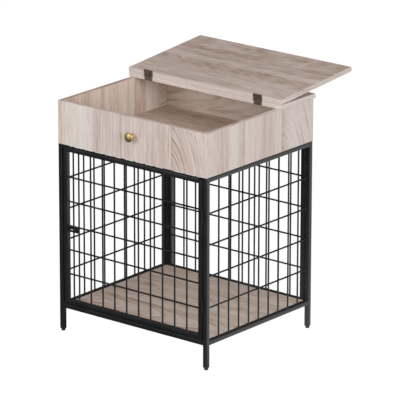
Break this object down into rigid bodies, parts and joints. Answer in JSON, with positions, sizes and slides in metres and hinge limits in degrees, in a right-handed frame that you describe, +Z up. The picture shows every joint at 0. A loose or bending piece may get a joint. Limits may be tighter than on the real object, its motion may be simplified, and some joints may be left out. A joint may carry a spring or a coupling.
{
  "type": "dog crate end table",
  "caption": "Square-tube and wire dog crate with a hinged, latched wire door under a shallow wood storage box with a hinged lid and a round knob.",
  "frame": {"origin": "on the floor, at the centre of the bounding box's bottom face with the lid open as stored: midway across the width, 341.5 mm behind the front face", "axes": "+X to the viewer's right across the width, +Y from the door to the back, +Z up"},
  "size_m": [0.6104, 0.7336, 0.8159],
  "materials": {
    "black_steel": "satin black powder coat",
    "bronze_steel": "dark antique bronze",
    "zinc_steel": "zinc plated",
    "brass": "polished",
    "pale_wood": "pale greyed oak laminate, matt",
    "black_plastic": "moulded, matt"
  },
  "bodies": {
    "table": {"leg_front_left": "black_steel", "leg_front_right": "black_steel", "leg_back_left": "black_steel", "leg_back_right": "black_steel", "foot_front_left": "black_plastic", "foot_front_right": "black_plastic", "foot_back_left": "black_plastic", "foot_back_right": "black_plastic", "side_rail_lower_left": "black_steel", "side_rail_upper_left": "black_steel", "grille_left": "black_steel", "side_rail_lower_right": "black_steel", "side_rail_upper_right": "black_steel", "grille_right": "black_steel", "front_rail": "black_steel", "back_stile_left": "black_steel", "back_stile_right": "black_steel", "back_rail_lower": "black_steel", "back_rail_upper": "black_steel", "grille_back": "black_steel", "back_bolt_lower_left": "zinc_steel", "back_bolt_upper_left": "zinc_steel", "back_bolt_lower_right": "zinc_steel", "back_bolt_upper_right": "zinc_steel", "floor_ledge_left": "black_steel", "floor_ledge_right": "black_steel", "crate_floor": "pale_wood", "box_side_left": "pale_wood", "box_side_right": "pale_wood", "box_front": "pale_wood", "box_back": "pale_wood", "box_floor": "pale_wood", "rear_top_board": "pale_wood", "knob": "brass", "knob_screw": "zinc_steel", "rear_hinge_leaf_left": "bronze_steel", "rear_hinge_leaf_right": "bronze_steel", "lid_hinge_pin_left": "zinc_steel", "lid_hinge_pin_right": "zinc_steel", "leg_hinge_leaf_lower": "black_steel", "leg_hinge_leaf_upper": "black_steel", "door_hinge_pin_lower": "black_steel", "door_hinge_pin_upper": "black_steel", "door_stop": "black_steel"},
    "lid": {"lid": "pale_wood", "lid_hinge_leaf_left": "bronze_steel", "lid_hinge_leaf_right": "bronze_steel"},
    "door": {"door_stile_latch": "black_steel", "door_stile_hinge": "black_steel", "door_rail_lower": "black_steel", "door_rail_upper": "black_steel", "door_grille": "black_steel", "door_hinge_leaf_lower": "black_steel", "door_hinge_leaf_upper": "black_steel", "latch_plate": "black_steel"},
    "latch_bolt": {"latch_bolt": "black_steel"}
  },
  "joints": [
    {"name": "lid_hinge", "type": "hinge", "parent": "table", "child": "lid", "pos_m": [0, 0.00566, 0.76933], "axis": [1, 0, 0], "range_deg": [0, 175]},
    {"name": "door_hinge", "type": "hinge", "parent": "table", "child": "door", "pos_m": [0.2804, -0.34354, 0.344], "axis": [0, 0, 1], "range_deg": [0, 180]},
    {"name": "latch_slide", "type": "slide", "parent": "door", "child": "latch_bolt", "axis": [-1, 0, 0], "range_m": [0, 0.016]}
  ]
}
